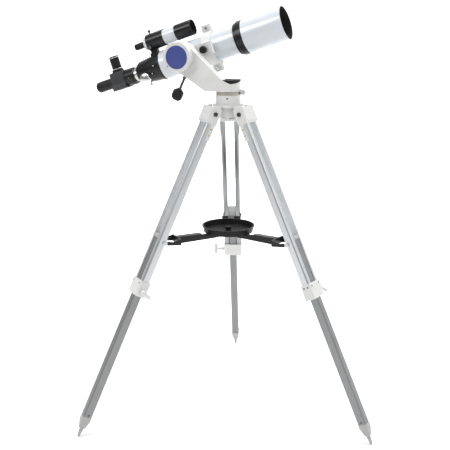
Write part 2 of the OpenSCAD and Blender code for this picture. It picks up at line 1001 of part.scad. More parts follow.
tripod_hub();
center_bolt();
head_screws();
azimuth_base();
azimuth_wheel();
leg_bracket(0);  // leg_bracket_rear
leg_bracket(1);  // leg_bracket_left
leg_bracket(2);  // leg_bracket_right
leg_rails(0);  // leg_rails_rear
leg_rails(1);  // leg_rails_left
leg_rails(2);  // leg_rails_right
leg_clamp(0);  // leg_clamp_rear
leg_clamp(1);  // leg_clamp_left
leg_clamp(2);  // leg_clamp_right
clamp_knob(0);  // clamp_knob_rear
clamp_knob(1);  // clamp_knob_left
clamp_knob(2);  // clamp_knob_right
lower_leg(0);  // lower_leg_rear
lower_leg(1);  // lower_leg_left
lower_leg(2);  // lower_leg_right
leg_ends(0);  // leg_ends_rear
leg_ends(1);  // leg_ends_left
leg_ends(2);  // leg_ends_right
spreader_arm(0);  // spreader_arm_rear
spreader_arm(1);  // spreader_arm_left
spreader_arm(2);  // spreader_arm_right
spreader_hub();
tray();
tray_knob();
mount_arm();
azimuth_cap();
azimuth_worm();
altitude_cap();
altitude_shaft();
altitude_worm();
altitude_knob();
saddle();
saddle_knob();
safety_screw();
tube_ring_near();
tube_ring_far();
tube_screws();
main_tube();
lens_cell();
objective_lens();
dew_shield();
focuser_body();
drawtube();
focus_knobs();
focus_lock_screw();
drawtube_adapter();
flip_box();
flip_mirror();
eyepiece_top();
eyepiece_rear();
finder_bracket();
finder_tube();
finder_hood();
finder_eyepiece();
finder_screws();
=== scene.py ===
import json
import math

import bmesh
import bpy
from mathutils import Matrix, Vector


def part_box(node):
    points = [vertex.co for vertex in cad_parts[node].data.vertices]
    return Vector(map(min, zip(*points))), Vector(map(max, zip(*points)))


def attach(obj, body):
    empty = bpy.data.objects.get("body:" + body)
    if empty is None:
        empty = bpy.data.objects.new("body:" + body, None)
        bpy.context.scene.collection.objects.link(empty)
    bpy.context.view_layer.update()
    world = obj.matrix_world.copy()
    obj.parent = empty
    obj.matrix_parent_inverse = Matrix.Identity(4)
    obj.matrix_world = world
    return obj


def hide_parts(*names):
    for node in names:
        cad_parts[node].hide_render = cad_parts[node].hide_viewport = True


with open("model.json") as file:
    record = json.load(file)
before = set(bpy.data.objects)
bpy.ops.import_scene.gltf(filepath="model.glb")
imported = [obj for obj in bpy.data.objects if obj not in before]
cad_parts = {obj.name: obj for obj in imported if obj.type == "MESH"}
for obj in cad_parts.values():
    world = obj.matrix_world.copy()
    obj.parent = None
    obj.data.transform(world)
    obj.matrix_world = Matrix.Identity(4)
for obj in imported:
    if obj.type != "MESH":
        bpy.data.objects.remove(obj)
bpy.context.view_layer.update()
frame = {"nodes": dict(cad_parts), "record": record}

MM = 0.001
RECORD = frame["record"]
JOINTS = {j["name"]: j for j in RECORD["behaviour"]["joints"]}
BODY_OF = {n: b for b, nodes in RECORD["behaviour"]["bodies"].items() for n in nodes}
SLOT_OF = {p["node"]: p["material_slot"] for p in RECORD["subparts"]}
LEGS = ("rear", "left", "right")


# ---------------------------------------------------------------- frames of the moving groups

def basis(origin, x, y, z):
    """Matrix of a frame with these axes, taking millimetres to the row frame's metres."""
    turn = Matrix((x, y, z)).transposed().to_4x4()
    return Matrix.Translation(origin) @ turn @ Matrix.Scale(MM, 4)


def middle(node):
    """Centre of a CAD node's box."""
    low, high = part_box(node)
    return (low + high) / 2


def leg_frame(name):
    """Origin at the leg's pivot, Z up along the leg, Y along the pivot, X outwards."""
    pivot = Vector(JOINTS["leg_fold_" + name]["pos_m"])
    y = Vector(JOINTS["leg_fold_" + name]["axis"]).normalized()
    z = -Vector(JOINTS["leg_slide_" + name]["axis"]).normalized()
    return basis(pivot, y.cross(z).normalized(), y, z)


def arm_frame(name):
    """Origin at a spreader arm's hub pin, X outwards along the arm."""
    pin = Vector(JOINTS["spreader_fold_" + name]["pos_m"])
    y = Vector(JOINTS["spreader_fold_" + name]["axis"]).normalized()
    z = Vector((0, 0, 1))
    return basis(pin, y.cross(z).normalized(), y, z)


ALTITUDE = Vector(JOINTS["altitude"]["pos_m"])
TUBE_DIR = Vector(JOINTS["tube_balance"]["axis"]).normalized()
ACROSS = Vector((0, 1, 0))
TUBE_UP = TUBE_DIR.cross(ACROSS).normalized()
# On the tube's axis, abreast of the altitude axis
TUBE = basis(Vector((ALTITUDE.x, middle("main_tube").y, ALTITUDE.z)), TUBE_DIR, ACROSS, TUBE_UP)
AZIMUTH = Vector(JOINTS["azimuth"]["pos_m"])
# On the floor under the azimuth axis
HEAD = basis(Vector((AZIMUTH.x, AZIMUTH.y, 0)), Vector((1, 0, 0)), ACROSS, Vector((0, 0, 1)))
WORM_DIR = Vector(JOINTS["altitude_knob_turn"]["axis"]).normalized()
# On the altitude worm, its stem running down -Z
WORM = basis(Vector(JOINTS["altitude_knob_turn"]["pos_m"]), ACROSS.cross(WORM_DIR), ACROSS, WORM_DIR)
ALONG_X = Matrix.Rotation(math.radians(90), 4, "Y")
ALONG_Y = Matrix.Rotation(math.radians(-90), 4, "X")


def at(x, y, z):
    """A move within a frame, in its own units."""
    return Matrix.Translation((x, y, z))


def facing(side):
    """Turns Z to +Y for side 1 and to -Y for side -1."""
    return Matrix.Rotation(math.radians(-90 * side), 4, "X")


def rolled(degrees):
    """A turn about a frame's X axis."""
    return Matrix.Rotation(math.radians(degrees), 4, "X")


# ---------------------------------------------------------------- materials

def new_tree(name):
    """A new material, its node tree and its shader."""
    material = bpy.data.materials.new(name)
    material.use_nodes = True
    tree = material.node_tree
    return material, tree, tree.nodes["Principled BSDF"]


def noise(tree, vector, scale, detail=3.0, rough=0.55):
    """Output of a noise texture, about 0.35 to 0.65."""
    node = tree.nodes.new("ShaderNodeTexNoise")
    node.inputs["Scale"].default_value = scale
    node.inputs["Detail"].default_value = detail
    node.inputs["Roughness"].default_value = rough
    tree.links.new(vector, node.inputs["Vector"])
    return node.outputs["Fac"]


def ramp(tree, value, low, high, from_low=0.35, from_high=0.65):
    """The value, stretched from one span to another and clamped."""
    node = tree.nodes.new("ShaderNodeMapRange")
    node.inputs["From Min"].default_value = from_low
    node.inputs["From Max"].default_value = from_high
    node.inputs["To Min"].default_value = low
    node.inputs["To Max"].default_value = high
    tree.links.new(value, node.inputs["Value"])
    return node.outputs["Result"]


def mix(tree, factor, first, second):
    """A blend of two colours, each given as a tuple or as a node's output."""
    node = tree.nodes.new("ShaderNodeMix")
    node.data_type = "RGBA"
    tree.links.new(factor, node.inputs["Factor"])
    for socket, value in ((node.inputs[6], first), (node.inputs[7], second)):
        if isinstance(value, tuple):
            socket.default_value = (*value, 1.0)
        else:
            tree.links.new(value, socket)
    return node.outputs[2]


def shade(colour, amount):
    """The colour, lighter or darker."""
    return tuple(max(0.0, min(1.0, c * amount)) for c in colour)


def finish(name, colour, rough, metal=0.0, spread=0.06, grain=900.0, bump=0.06, wear=None,
           wear_amount=0.35, stretch=None, turn=None, coat=0.0, rough_spread=0.12, patch=14.0,
           specular=0.5):
    """A surface with patchy colour, uneven gloss, a fine bump and, where wear is given, rubbed edges."""
    material, tree, shader = new_tree(name)
    coords = tree.nodes.new("ShaderNodeTexCoord")
    vector = coords.outputs["Object"]
    if turn is not None:
        mapping = tree.nodes.new("ShaderNodeMapping")
        mapping.inputs["Rotation"].default_value = turn
        tree.links.new(vector, mapping.inputs["Vector"])
        vector = mapping.outputs["Vector"]
    fine_vector = vector
    if stretch is not None:
        mapping = tree.nodes.new("ShaderNodeMapping")
        mapping.inputs["Scale"].default_value = stretch
        tree.links.new(vector, mapping.inputs["Vector"])
        fine_vector = mapping.outputs["Vector"]
    patches = noise(tree, vector, patch, 4.0)
    fine = noise(tree, fine_vector, grain, 2.0)
    base = mix(tree, ramp(tree, patches, 0.0, 1.0), shade(colour, 1 - spread), shade(colour, 1 + spread))
    if stretch is not None:
        base = mix(tree, ramp(tree, fine, 0.0, 0.5), base, shade(colour, 1 - 2.2 * spread))
    if wear is not None:
        geometry = tree.nodes.new("ShaderNodeNewGeometry")
        edge = ramp(tree, geometry.outputs["Pointiness"], 0.0, 1.0, 0.53, 0.62)
        rub = tree.nodes.new("ShaderNodeMath")
        rub.operation = "MULTIPLY"
        tree.links.new(edge, rub.inputs[0])
        tree.links.new(ramp(tree, noise(tree, vector, 60.0, 5.0), 0.0, wear_amount), rub.inputs[1])
        base = mix(tree, rub.outputs["Value"], base, wear)
    tree.links.new(base, shader.inputs["Base Color"])
    low = max(0.03, rough * (1 - rough_spread))
    tree.links.new(ramp(tree, patches, low, rough * (1 + rough_spread)), shader.inputs["Roughness"])
    relief = tree.nodes.new("ShaderNodeBump")
    relief.inputs["Strength"].default_value = bump
    relief.inputs["Distance"].default_value = 0.0004
    tree.links.new(fine, relief.inputs["Height"])
    tree.links.new(relief.outputs["Normal"], shader.inputs["Normal"])
    shader.inputs["Metallic"].default_value = metal
    shader.inputs["Coat Weight"].default_value = coat
    shader.inputs["Coat Roughness"].default_value = 0.08
    shader.inputs["Specular IOR Level"].default_value = specular
    return material


def glass(name, tint, rough=0.03):
    """Clear, faintly tinted glass with a slight haze."""
    material, tree, shader = new_tree(name)
    coords = tree.nodes.new("ShaderNodeTexCoord")
    haze = noise(tree, coords.outputs["Object"], 35.0, 4.0)
    tree.links.new(ramp(tree, haze, rough, rough * 2.5), shader.inputs["Roughness"])
    colour = mix(tree, ramp(tree, haze, 0.0, 1.0), tint, shade(tint, 0.92))
    tree.links.new(colour, shader.inputs["Base Color"])
    shader.inputs["Transmission Weight"].default_value = 0.9
    shader.inputs["IOR"].default_value = 1.52
    shader.inputs["Coat Weight"].default_value = 0.6
    return material


def along(name):
    """Rotation that lays a leg's length along Z for its drawn grain."""
    turn = leg_frame(name).to_3x3().normalized().inverted()
    return tuple(turn.to_euler("XYZ"))


STREAK = (1.0, 1.0, 0.012)
LOOK = {
    "white_paint": finish("white_paint", (0.70, 0.705, 0.695), 0.34, spread=0.02, grain=1500, bump=0.10,
                          wear=(0.6, 0.6, 0.58), wear_amount=0.25, coat=0.25),
    "tube_paint": finish("tube_paint", (0.62, 0.655, 0.70), 0.24, spread=0.012, grain=1800, bump=0.05,
                         wear=(0.62, 0.64, 0.66), wear_amount=0.2, coat=0.45),
    "black_paint": finish("black_paint", (0.009, 0.009, 0.0095), 0.3, spread=0.25, grain=1600, bump=0.12,
                          wear=(0.12, 0.12, 0.12), wear_amount=0.4, coat=0.1, specular=0.25),
    "grey_paint": finish("grey_paint", (0.03, 0.031, 0.033), 0.4, spread=0.12, grain=1500, bump=0.14,
                         wear=(0.25, 0.25, 0.25), wear_amount=0.4),
    "black_plastic": finish("black_plastic", (0.012, 0.012, 0.0125), 0.42, spread=0.2, grain=1200, bump=0.2,
                            wear=(0.09, 0.09, 0.09), wear_amount=0.3, specular=0.2),
    "foot_plastic": finish("foot_plastic", (0.42, 0.425, 0.415), 0.5, spread=0.06, grain=900, bump=0.15,
                           wear=(0.42, 0.41, 0.39), wear_amount=0.5),
    "steel": finish("steel", (0.62, 0.62, 0.61), 0.26, metal=1.0, spread=0.06, grain=1500, bump=0.04,
                    wear=(0.8, 0.8, 0.8)),
    "dark_steel": finish("dark_steel", (0.09, 0.09, 0.095), 0.35, metal=0.9, spread=0.2, grain=1200,
                         bump=0.08, wear=(0.4, 0.4, 0.4)),
    "chrome": finish("chrome", (0.9, 0.9, 0.91), 0.09, metal=1.0, spread=0.02, grain=1500, bump=0.012),
    "blue_cap": finish("blue_cap", (0.05, 0.07, 0.27), 0.2, spread=0.08, grain=1400, bump=0.05,
                       wear=(0.2, 0.25, 0.5), wear_amount=0.3, coat=0.5),
    "lens_glass": glass("lens_glass", (0.62, 0.76, 0.74)),
    "mirror_glass": finish("mirror_glass", (0.92, 0.93, 0.93), 0.06, metal=1.0, spread=0.01, bump=0.005),
    "ring_metal": finish("ring_metal", (0.56, 0.53, 0.46), 0.3, metal=1.0, spread=0.12, grain=1500,
                         bump=0.06, wear=(0.8, 0.8, 0.78)),
    "brass": finish("brass", (0.72, 0.52, 0.22), 0.3, metal=1.0, spread=0.1, bump=0.05,
                    wear=(0.9, 0.75, 0.45)),
    "dark_inside": finish("dark_inside", (0.012, 0.012, 0.012), 0.8, spread=0.3, grain=700, bump=0.35),
}
RAIL_LOOK = {}
LOWER_LOOK = {}
for leg in LEGS:
    # The rear leg's rails get a darker copy of the rail aluminium: painted shade for the shadow they stand
    # in, not wear.
    painted_shade = 0.62 if leg == "rear" else 1.0
    RAIL_LOOK[leg] = finish("rail_aluminium_" + leg, (0.62 * painted_shade, 0.635 * painted_shade, 0.65 * painted_shade), 0.34,
                            metal=0.85, spread=0.03, grain=700, bump=0.05, stretch=STREAK, turn=along(leg))
    LOWER_LOOK[leg] = finish("leg_aluminium_" + leg, (0.27, 0.275, 0.28), 0.36, metal=0.8, spread=0.04,
                             grain=700, bump=0.06, stretch=STREAK, turn=along(leg))


def look_of(node):
    """The material of a CAD node."""
    if node.startswith("leg_rails_"):
        return RAIL_LOOK[node.rsplit("_", 1)[1]]
    if node.startswith("lower_leg_"):
        return LOWER_LOOK[node.rsplit("_", 1)[1]]
    if node == "azimuth_wheel":
        return LOOK["ring_metal"]
    return LOOK[SLOT_OF[node]]


# ---------------------------------------------------------------- mesh helpers

SHARP = math.radians(38)


def mark_sharp(bm):
    """Smooth faces with hard edges where two faces meet at more than SHARP."""
    for face in bm.faces:
        face.smooth = True
    for edge in bm.edges:
        if len(edge.link_faces) == 2:
            edge.smooth = edge.calc_face_angle(0.0) < SHARP
        else:
            edge.smooth = False


def store(name, bm, material):
    """Makes an object of the mesh and puts it in the scene."""
    mark_sharp(bm)
    mesh = bpy.data.meshes.new(name)
    bm.to_mesh(mesh)
    bm.free()
    if "custom_normal" in mesh.attributes:
        mesh.attributes.remove(mesh.attributes["custom_normal"])
    mesh.materials.append(material)
    piece = bpy.data.objects.new(name, mesh)
    bpy.context.scene.collection.objects.link(piece)
    return piece


def skin(node, width, segments):
    """The node's own shape with its corners rounded off by width millimetres."""
    source = frame["nodes"][node]
    bm = bmesh.new()
    bm.from_mesh(source.data)
    bmesh.ops.remove_doubles(bm, verts=bm.verts, dist=2e-6)
    bmesh.ops.dissolve_limit(bm, angle_limit=math.radians(0.6), verts=bm.verts, edges=bm.edges)
    corners = [e for e in bm.edges if len(e.link_faces) == 2 and e.calc_face_angle(0.0) > math.radians(34)]
    if width and corners:
        bmesh.ops.bevel(bm, geom=corners, offset=width * MM, offset_type="OFFSET", segments=segments,
                        profile=0.5, affect="EDGES", clamp_overlap=True)
    piece = store(node + "_skin", bm, look_of(node))
    weigh = piece.modifiers.new("weighted", "WEIGHTED_NORMAL")
    weigh.keep_sharp = True
    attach(piece, BODY_OF[node])
    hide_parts(node)
    return piece


def add_lathe(bm, matrix, profile, steps=48, radius_at=None):
    """A turned solid about the matrix's Z: profile is a list of (radius, height)."""
    rings = []
    for r, h in profile:
        if r < 1e-6:
            rings.append([bm.verts.new(matrix @ Vector((0, 0, h)))])
            continue
        ring = []
        for k in range(steps):
            angle = 2 * math.pi * k / steps
            reach = radius_at(r, h, angle) if radius_at else r
            spot = Vector((reach * math.cos(angle), reach * math.sin(angle), h))
            ring.append(bm.verts.new(matrix @ spot))
        rings.append(ring)
    for low, high in zip(rings, rings[1:]):
        for k in range(steps):
            m = (k + 1) % steps
            if len(low) == 1 and len(high) == 1:
                break
            if len(low) == 1:
                bm.faces.new((low[0], high[m], high[k]))
            elif len(high) == 1:
                bm.faces.new((low[k], low[m], high[0]))
            else:
                bm.faces.new((low[k], low[m], high[m], high[k]))


def add_band(bm, matrix, radius, lift, start, length, slope=0.3):
    """A low raised band round a turned part, from start to start + length along the matrix's Z."""
    crest = radius + lift
    add_lathe(bm, matrix, [(radius, start), (crest, start + slope), (crest, start + length - slope),
                           (radius, start + length)], 96)


def hexagon(size):
    """Radius of a six-sided outline, for a screw's recess."""
    def reach(angle):
        part = math.pi / 3
        return size * math.cos(part / 2) / math.cos((angle + 1e-6) % part - part / 2)
    return reach


def cross(size):
    """Radius of a cross-shaped outline, for a screw's recess."""
    def reach(angle):
        return size * (0.34 + 0.66 * abs(math.cos(2 * angle)) ** 5)
    return reach


def add_screw(bm, matrix, radius, height, recess, depth):
    """A screw head standing on the matrix's Z = 0 plane, with a recess of the given outline."""
    top = (recess(0), height)
    low = (recess(0), height - depth)

    def radius_at(r, h, angle):
        return recess(angle) if (r, h) in (top, low) else r

    profile = [(radius, 0), (radius, height * 0.65), (radius * 0.88, height), top, low, (0, height - depth)]
    add_lathe(bm, matrix, profile, 24, radius_at)


def details(name, body, material, build):
    """One extra piece made by build(bm), riding on a body."""
    bm = bmesh.new()
    build(bm)
    bmesh.ops.recalc_face_normals(bm, faces=bm.faces)
    piece = store(name, bm, material)
    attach(piece, body)
    return piece


def ribs(count, angle):
    """A wave from 0 to 1 that repeats count times round a turned shape."""
    return 0.5 + 0.5 * math.cos(count * angle)


# ---------------------------------------------------------------- CAD nodes with rounded corners

# Width in millimetres and number of segments of the rounded corners
ROUNDING = {
    "mount_arm": (1.8, 3), "tripod_hub": (1.2, 2), "azimuth_base": (1.0, 3), "saddle": (1.6, 3),
    "tube_ring_near": (0.9, 2), "tube_ring_far": (0.9, 2), "flip_box": (0.9, 2), "tray": (0.8, 2),
    "azimuth_cap": (0.7, 2), "altitude_cap": (1.2, 3), "center_bolt": (0.5, 2), "focuser_body": (0.7, 2),
    "finder_bracket": (0.8, 2), "spreader_hub": (0.5, 2), "objective_lens": (0.0, 1),
}
# Nodes that a shape of their own replaces further down
REPLACED = {"altitude_knob", "saddle_knob", "focus_knobs", "eyepiece_top", "tray_knob", "finder_eyepiece",
            "eyepiece_rear"}

# Distance from an arm's hub pin to where its black paint ends
FORK_BARE_FROM = 192


def two_tone(piece, leg):
    """The fork's ends, beside the rails, are left in the rails' bare metal."""
    piece.data.materials.append(RAIL_LOOK[leg])
    outward = arm_frame(leg)
    bm = bmesh.new()
    bm.from_mesh(piece.data)
    bmesh.ops.bisect_plane(bm, geom=bm.verts[:] + bm.edges[:] + bm.faces[:], dist=1e-6,
                           plane_co=outward @ Vector((FORK_BARE_FROM, 0, 0)),
                           plane_no=outward.to_3x3() @ Vector((1, 0, 0)))
    mark_sharp(bm)
    bm.to_mesh(piece.data)
    bm.free()
    if "custom_normal" in piece.data.attributes:
        piece.data.attributes.remove(piece.data.attributes["custom_normal"])
    into_arm = outward.inverted()
    for polygon in piece.data.polygons:
        if (into_arm @ polygon.center).x > FORK_BARE_FROM:
            polygon.material_index = 1


for node in frame["nodes"]:
    if node in REPLACED:
        continue
    width, segments = ROUNDING.get(node, (0.5, 2))
    if node.startswith(("leg_bracket_", "leg_clamp_")):
        width, segments = 1.6, 3
    if node.startswith("clamp_knob_"):
        width, segments = 0.9, 2
    piece = skin(node, width, segments)
    if node.startswith("spreader_arm_"):
        two_tone(piece, node.rsplit("_", 1)[1])


# ---------------------------------------------------------------- tripod details

# Distances down a leg from its pivot, and of its faces from the leg's middle, in millimetres
RAIL_SCREWS_AT = (45, 64)
CLAMP_SCREWS_AT = 544
FOOT_SCREWS_AT = 982
TONGUE_FACE = 29.6
CLAMP_SIDE = 30.6
CLAMP_FRONT = 17.2
LOWER_LEG_SIDE = 12.1
# Distances of the rivets from an arm's hub pin, and the height of its top above the pin
RIVETS_AT = (92, 138)
ARM_TOP = 12
# Height of the tray's floor above its underside
TRAY_FLOOR = 2.5

for leg in LEGS:
    M = leg_frame(leg)

    def rail_screws(bm):
        for side in (-1, 1):
            for down in RAIL_SCREWS_AT:
                add_screw(bm, M @ at(-5.5, side * TONGUE_FACE, -down) @ facing(side),
                          2.9, 1.0, cross(1.7), 0.6)

    details("rail_screws_" + leg, "leg_" + leg, LOOK["brass"], rail_screws)

    def clamp_screws(bm):
        for x in (-6, 7):
            add_screw(bm, M @ at(x, -CLAMP_SIDE, -CLAMP_SCREWS_AT - 1) @ facing(-1),
                      2.6, 1.0, cross(1.6), 0.6)
        for y in (-21, 21):
            add_screw(bm, M @ at(CLAMP_FRONT, y, -CLAMP_SCREWS_AT) @ ALONG_X, 2.4, 0.9, cross(1.5), 0.5)

    details("clamp_screws_" + leg, "leg_" + leg, LOOK["dark_steel"], clamp_screws)

    def foot_screw(bm):
        for side in (-1, 1):
            add_screw(bm, M @ at(0, side * LOWER_LEG_SIDE, -FOOT_SCREWS_AT) @ facing(side),
                      3.0, 1.2, cross(1.8), 0.7)

    details("foot_screws_" + leg, "lower_" + leg, LOOK["dark_steel"], foot_screw)

    A = arm_frame(leg)

    def rivets(bm):
        dome = [(0, 1.3), (1.6, 1.05), (2.7, 0.5), (3.1, 0.0), (3.1, -0.6), (0, -0.6)]
        for x in RIVETS_AT:
            add_lathe(bm, A @ at(x, 0, ARM_TOP), dome[::-1], 20)

    details("arm_rivets_" + leg, "spreader_" + leg, LOOK["dark_steel"], rivets)


def tray_rings(bm):
    """Low rings and spokes moulded on the tray's floor."""
    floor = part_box("tray")[0].z / MM + TRAY_FLOOR
    crest = floor + 0.8
    for r in (24, 42, 60, 70):
        add_lathe(bm, HEAD, [(r - 0.9, floor), (r - 0.5, crest), (r + 0.5, crest), (r + 0.9, floor)], 72)
    for k in range(6):
        turn = Matrix.Rotation(math.radians(60 * k + 17), 4, "Z")
        corners = [(26, -0.8), (69, -0.8), (69, 0.8), (26, 0.8)]
        base = [bm.verts.new(HEAD @ turn @ Vector((x, y, floor))) for x, y in corners]
        top = [bm.verts.new(HEAD @ turn @ Vector((x, y * 0.6, crest))) for x, y in corners]
        bm.faces.new(top)
        for i in range(4):
            bm.faces.new((base[i], base[(i + 1) % 4], top[(i + 1) % 4], top[i]))


details("tray_ribs", "spreader", LOOK["black_plastic"], tray_rings)


def tray_knob_shape(bm):
    """The tray's screw with its nine-lobed knob."""
    low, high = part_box("tray_knob")
    z0, z1 = low.z / MM, high.z / MM
    add_lathe(bm, HEAD, [(0, z0), (2.9, z0), (2.9, z1 - 10.1), (5.0, z1 - 10.1), (5.0, z1 - 9)], 32)
    add_lathe(bm, HEAD, [(5.0, z1 - 9), (8.2, z1 - 9), (9.0, z1 - 8), (9.0, z1 - 2), (8.0, z1 - 0.4),
                         (5.5, z1), (4.8, z1 - 0.8), (0, z1 - 0.8)], 72,
              lambda r, h, a: r - (0.9 * ribs(9, a) ** 2 if r > 7.5 else 0))


knob = details("tray_knob_shape", "tray_handle", LOOK["black_plastic"], tray_knob_shape)
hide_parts("tray_knob")


# ---------------------------------------------------------------- mount head details

def altitude_knob_shape(bm):
    """An eight-lobed knob at the end of the worm's stem."""
    def lobes(r, h, angle):
        return r - (1.6 * ribs(8, angle) ** 1.5 if r > 13 else 0)
    add_lathe(bm, WORM, [(3.9, -89.2), (9, -89.2), (14.6, -93.6), (16.4, -95.5), (16.9, -99), (16.9, -111),
                         (15.8, -116), (14.2, -119.5), (10.5, -122.6), (9.5, -121.8), (0, -121.8)],
              96, lobes)


knob = details("altitude_knob_shape", "altitude_handle", LOOK["black_plastic"],
               altitude_knob_shape)
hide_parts("altitude_knob")


def stem_collar(bm):
    """Two collars on the stem: at the knob, and where it leaves the arm."""
    add_lathe(bm, WORM, [(4.0, -90), (6.2, -90), (6.6, -89.4), (6.6, -86.6), (6.0, -86), (4.0, -86)], 40)
    add_lathe(bm, WORM, [(4.0, -52.5), (5.8, -52.5), (6.2, -52), (6.2, -47), (4.0, -47)], 40)


details("stem_collars", "altitude_handle", LOOK["dark_steel"], stem_collar)


def cap_face():
    """On the altitude cap's outer face, Z pointing out of it."""
    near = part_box("altitude_cap")[0].y
    return Matrix.Translation((ALTITUDE.x, near, ALTITUDE.z)) @ facing(-1) @ Matrix.Scale(MM, 4)


def cap_rings(bm):
    """A thin raised ring near the cap's edge."""
    add_lathe(bm, cap_face(), [(30.2, -0.6), (30.5, -0.08), (31.4, -0.08), (31.7, -0.6)], 96)


details("altitude_cap_ring", "arm", LOOK["blue_cap"], cap_rings)


def drum_screw(bm):
    """Two set screws in the drum's rim, outside the cap."""
    for side in (1, -1):
        spot = at(side * 28.8, side * 27.0, -1.7)
        add_screw(bm, cap_face() @ spot, 2.4, 1.6, hexagon(1.3), 0.9)


details("drum_screws", "arm", LOOK["steel"], drum_screw)


def wheel_grooves(bm):
    """Fine teeth round the azimuth wheel."""
    low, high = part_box("azimuth_wheel")
    z0, z1 = low.z / MM, high.z / MM
    r = (high.x - low.x) / MM / 2 - 0.35
    add_lathe(bm, HEAD, [(r, z0 + 1), (r + 0.3, z0 + 1.3), (r + 0.3, z1 - 1.3), (r, z1 - 1)], 180,
              lambda q, h, a: q - (0.25 * ribs(90, a) if q > r + 0.1 else 0))


details("azimuth_wheel_teeth", "tripod_head", LOOK["ring_metal"], wheel_grooves)


def saddle_knob_shape(bm):
    """A twelve-lobed knob on the saddle's clamp screw."""
    origin = Vector(JOINTS["saddle_knob_turn"]["pos_m"])
    low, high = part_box("saddle_knob")
    M = basis(Vector((origin.x, 0, origin.z)), TUBE_DIR, ACROSS, TUBE_UP) @ ALONG_Y
    y0, y1 = low.y / MM, high.y / MM
    add_lathe(bm, M, [(0, y1), (3, y1), (3, y0 + 13)], 32)
    add_lathe(bm, M, [(3, y0 + 13), (8.5, y0 + 13), (9.5, y0 + 12), (9.5, y0 + 10.6), (10.6, y0 + 10.2),
                      (11.4, y0 + 9.6), (11.4, y0 + 2.2), (10.4, y0 + 0.9), (8.8, y0 + 0.1), (6, y0 + 0.1),
                      (5.4, y0 + 0.8), (0, y0 + 0.8)], 96,
              lambda r, h, a: r - (1.0 * ribs(12, a) ** 1.5 if r > 10.3 else 0))


knob = details("saddle_knob_shape", "saddle_handle", LOOK["black_plastic"],
               saddle_knob_shape)
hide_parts("saddle_knob")


# ---------------------------------------------------------------- optical tube details

# Stations along the tube, in millimetres in front of the altitude axis
DEW_LINING = (190, 303.5)
LENS_CELL_SCREWS = 169
CELL_BANDS = (160.8, 163.0, 165.2)
FOCUSER_BANDS = (-113.5, -110.5)
RACK_START = -196
ADAPTER_SCREWS = -230
TOP_PORT = -271
REAR_PORT = -295
BOX_SCREWS = (-291, -251)
# Radius of the dew shield's lining between its baffles, and at their edges
LINING_R = 49.25
BAFFLE_R = 48.5
RACK_PITCH = 2.6


def dew_lining(bm):
    """Black baffles inside the dew shield."""
    low, high = DEW_LINING
    baffles = 14
    profile = []
    for k in range(baffles + 1):
        t = low + (high - low) * k / baffles
        profile.append((LINING_R, t))
        profile.append((BAFFLE_R, min(t + 1.2, high)))
    add_lathe(bm, TUBE @ ALONG_X, profile, 96)


details("dew_shield_lining", "tube", LOOK["dark_inside"], dew_lining)


def lens_ring(bm):
    """The ring that holds the objective lens, and three screws round the lens cell."""
    add_lathe(bm, TUBE @ ALONG_X, [(40, 176.5), (39.2, 177.5), (38.2, 177.5), (38.2, 175), (40, 175)], 96)
    for k in range(3):
        add_lathe(bm, TUBE @ rolled(120 * k + 30) @ at(LENS_CELL_SCREWS, 0, 50.9),
                  [(2.3, 0), (2.3, 0.5), (1.9, 0.75), (1.2, 0.75), (1.0, 0.1), (0, 0.1)], 20)


details("lens_retainer", "tube", LOOK["dark_inside"], lens_ring)


def cell_grooves(bm):
    """Three low bands round the lens cell."""
    for t in CELL_BANDS:
        add_band(bm, TUBE @ ALONG_X, 51.6, 0.09, t, 1.5)


details("lens_cell_bands", "tube", LOOK["black_plastic"], cell_grooves)


def focus_knob_shape(bm):
    """The pinion with its shaft and a ribbed, domed knob at each end."""
    origin = Vector(JOINTS["focus_knob_turn"]["pos_m"])
    M = basis(origin, TUBE_DIR, ACROSS, TUBE_UP) @ ALONG_Y
    add_lathe(bm, M, [(0, -42), (2.5, -42), (2.5, 42), (0, 42)], 24)
    add_lathe(bm, M, [(2.5, -8.5), (2.6, -8.4), (2.6, 8.4), (2.5, 8.5)], 48,
              lambda r, h, a: r - (0.35 * ribs(12, a) if r > 2.55 else 0))
    for side in (0, 180):
        K = M @ rolled(side)
        add_lathe(bm, K, [(2.5, 36), (8.4, 36), (9, 36.6), (9, 41), (15.8, 41), (16.8, 41.6), (17.4, 43),
                          (17.9, 43.6), (17.9, 49.4), (17.4, 50), (16.9, 52.2), (15.6, 54), (13.5, 55.4),
                          (10.8, 56.5), (8, 57.2), (4, 57.75), (0, 57.9)], 120,
                  lambda r, h, a: r - (0.45 * ribs(60, a) if r > 17.5 else 0))


knob = details("focus_knob_shape", "focus_handle", LOOK["chrome"], focus_knob_shape)
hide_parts("focus_knobs")


def focuser_trim(bm):
    """Two low bands round the focuser's wide end, and a lip at the drawtube."""
    for t in FOCUSER_BANDS:
        add_band(bm, TUBE @ ALONG_X, 44.2, 0.08, t, 1.2, 0.2)
    add_lathe(bm, TUBE @ ALONG_X, [(26.4, -198.6), (21.2, -198.85), (20.9, -198.4)], 96)


details("focuser_trim", "tube", LOOK["black_plastic"], focuser_trim)


def side_screws(bm):
    """Two small screws on the near side of the focuser's cone, square to its surface."""
    for t, v, r in ((-130, 7, 2.4), (-141, -14, 2.0)):
        reach = math.sqrt(max(0.0, (40.35 + (t + 130) * 0.11) ** 2 - v * v))
        lean = math.degrees(math.atan2(v, reach))
        turn = TUBE @ at(t, 0, 0) @ rolled(90 - lean)
        add_screw(bm, turn @ at(0, 0, math.hypot(reach, v) - 0.4), r, 1.0, cross(1.3), 0.5)


details("focuser_side_screws", "tube", LOOK["steel"], side_screws)


